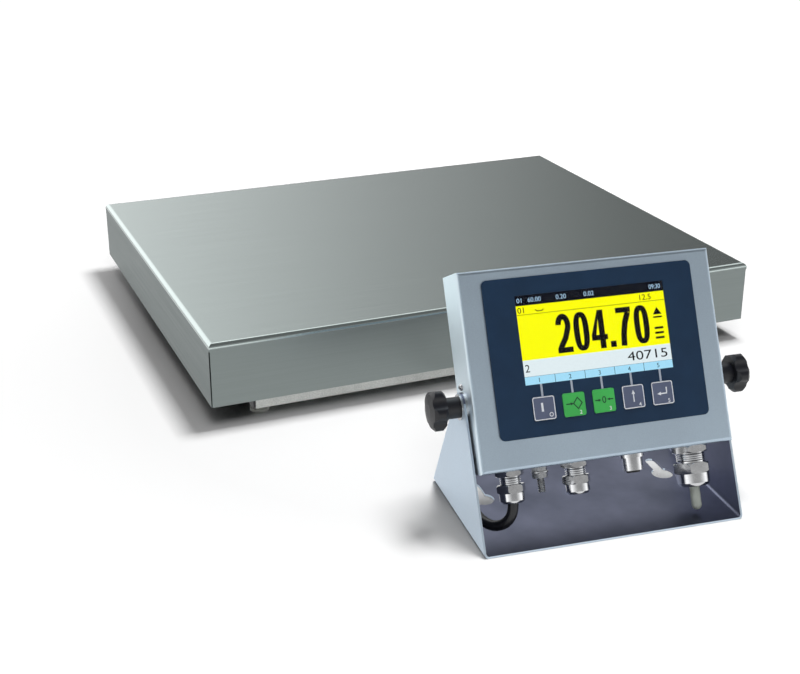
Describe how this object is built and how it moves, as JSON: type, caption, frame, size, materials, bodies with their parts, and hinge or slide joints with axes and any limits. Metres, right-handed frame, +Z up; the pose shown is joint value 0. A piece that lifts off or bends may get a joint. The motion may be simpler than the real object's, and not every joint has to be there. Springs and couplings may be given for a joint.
{
  "type": "checkweigher",
  "caption": "Bench checkweigher: low stainless load platform on levelling feet, joined by a cable to a tilting stainless weighing terminal with display and keys on a U-bracket.",
  "frame": {"origin": "on the floor, in the middle of platform and terminal together", "axes": "+Z up, +Y from the terminal towards the platform, +X to the right for a user in front"},
  "size_m": [0.5, 0.6767, 0.176],
  "materials": {
    "plate_steel": "brushed",
    "case_steel": "satin",
    "blasted_steel": "bead blasted",
    "aluminium": "milled",
    "fastener_steel": "satin",
    "nickel_brass": "nickel plated",
    "black_plastic": "satin",
    "rubber": "matt",
    "cable_black": "satin",
    "overlay_navy": "satin",
    "key_slate": "satin",
    "key_green": "satin",
    "window": "clear",
    "display": "lit",
    "board_green": "satin",
    "foot_pale": "satin",
    "plug_pale": "satin"
  },
  "bodies": {
    "base": {"bracket": "case_steel", "base_beam": "blasted_steel", "base_rail_front": "blasted_steel", "base_rail_rear": "blasted_steel", "cable_bracket": "blasted_steel", "upper_beam": "aluminium", "upper_arm_front": "aluminium", "upper_arm_rear": "aluminium", "cell_spacers": "aluminium", "load_cell": "aluminium", "load_cell_bolts": "fastener_steel", "overload_stops": "fastener_steel", "frame_lock_nuts": "fastener_steel", "platform_gland_body": "nickel_brass", "platform_gland_nuts": "nickel_brass", "rail_end_caps": "black_plastic", "spirit_level": "black_plastic", "plate_buffers": "rubber", "platform_gland_seal": "rubber", "coil_tie": "rubber", "load_cell_lead": "cable_black", "cable_lead": "cable_black", "cable_coil": "cable_black", "cable_tail": "cable_black"},
    "load_plate": {"load_plate": "plate_steel"},
    "terminal": {"housing": "case_steel", "rear_cover": "case_steel", "cover_gasket": "rubber", "housing_screws": "fastener_steel", "keypad_overlay": "overlay_navy", "display_window": "window", "display_module": "display", "main_board": "board_green", "power_module": "black_plastic", "board_standoffs": "nickel_brass", "pivot_bosses": "fastener_steel", "ear_washers": "fastener_steel", "pivot_spacers": "fastener_steel", "gland_bodies": "nickel_brass", "gland_nuts": "nickel_brass", "gland_seals": "rubber", "gland_lock_nuts": "nickel_brass", "gland_plug": "plug_pale", "earth_stud": "fastener_steel", "earth_nuts": "fastener_steel", "data_socket": "nickel_brass", "data_socket_insert": "black_plastic"},
    "knob_left": {"knob_left": "black_plastic", "knob_stud_left": "fastener_steel"},
    "knob_right": {"knob_right": "black_plastic", "knob_stud_right": "fastener_steel"},
    "key_1": {"key_1": "key_slate"},
    "key_2": {"key_2": "key_green"},
    "key_3": {"key_3": "key_green"},
    "key_4": {"key_4": "key_slate"},
    "key_5": {"key_5": "key_slate"},
    "foot_front_left": {"foot_front_left": "foot_pale"},
    "foot_front_right": {"foot_front_right": "foot_pale"},
    "foot_rear_left": {"foot_rear_left": "foot_pale"},
    "foot_rear_right": {"foot_rear_right": "foot_pale"}
  },
  "joints": [
    {"name": "load_plate_lift", "type": "slide", "parent": "base", "child": "load_plate", "axis": [0, 0, 1], "range_m": [0, 0.1]},
    {"name": "terminal_tilt", "type": "hinge", "parent": "base", "child": "terminal", "pos_m": [-0.031, -0.27161, 0.087], "axis": [0.9945, -0.1045, 0], "range_deg": [-45, 3], "deforming": ["cable_lead"]},
    {"name": "knob_left_turn", "type": "hinge", "parent": "terminal", "child": "knob_left", "pos_m": [-0.1404, -0.26011, 0.087], "axis": [-0.9945, 0.1045, 0], "range_deg": [0, 540]},
    {"name": "knob_right_turn", "type": "hinge", "parent": "terminal", "child": "knob_right", "pos_m": [0.0784, -0.28311, 0.087], "axis": [0.9945, -0.1045, 0], "range_deg": [0, 540]},
    {"name": "key_1_press", "type": "slide", "parent": "terminal", "child": "key_1", "axis": [0.0939, 0.8939, -0.4384], "range_m": [0, 0.0004], "stiffness_N_per_m": 5000},
    {"name": "key_2_press", "type": "slide", "parent": "terminal", "child": "key_2", "axis": [0.0939, 0.8939, -0.4384], "range_m": [0, 0.0004], "stiffness_N_per_m": 5000},
    {"name": "key_3_press", "type": "slide", "parent": "terminal", "child": "key_3", "axis": [0.0939, 0.8939, -0.4384], "range_m": [0, 0.0004], "stiffness_N_per_m": 5000},
    {"name": "key_4_press", "type": "slide", "parent": "terminal", "child": "key_4", "axis": [0.0939, 0.8939, -0.4384], "range_m": [0, 0.0004], "stiffness_N_per_m": 5000},
    {"name": "key_5_press", "type": "slide", "parent": "terminal", "child": "key_5", "axis": [0.0939, 0.8939, -0.4384], "range_m": [0, 0.0004], "stiffness_N_per_m": 5000},
    {"name": "foot_front_left_screw", "type": "slide", "parent": "base", "child": "foot_front_left", "axis": [0, 0, 1], "range_m": [-0.01, 0.0008]},
    {"name": "foot_front_right_screw", "type": "slide", "parent": "base", "child": "foot_front_right", "axis": [0, 0, 1], "range_m": [-0.01, 0.0008]},
    {"name": "foot_rear_left_screw", "type": "slide", "parent": "base", "child": "foot_rear_left", "axis": [0, 0, 1], "range_m": [-0.01, 0.0008]},
    {"name": "foot_rear_right_screw", "type": "slide", "parent": "base", "child": "foot_rear_right", "axis": [0, 0, 1], "range_m": [-0.01, 0.0008]}
  ]
}
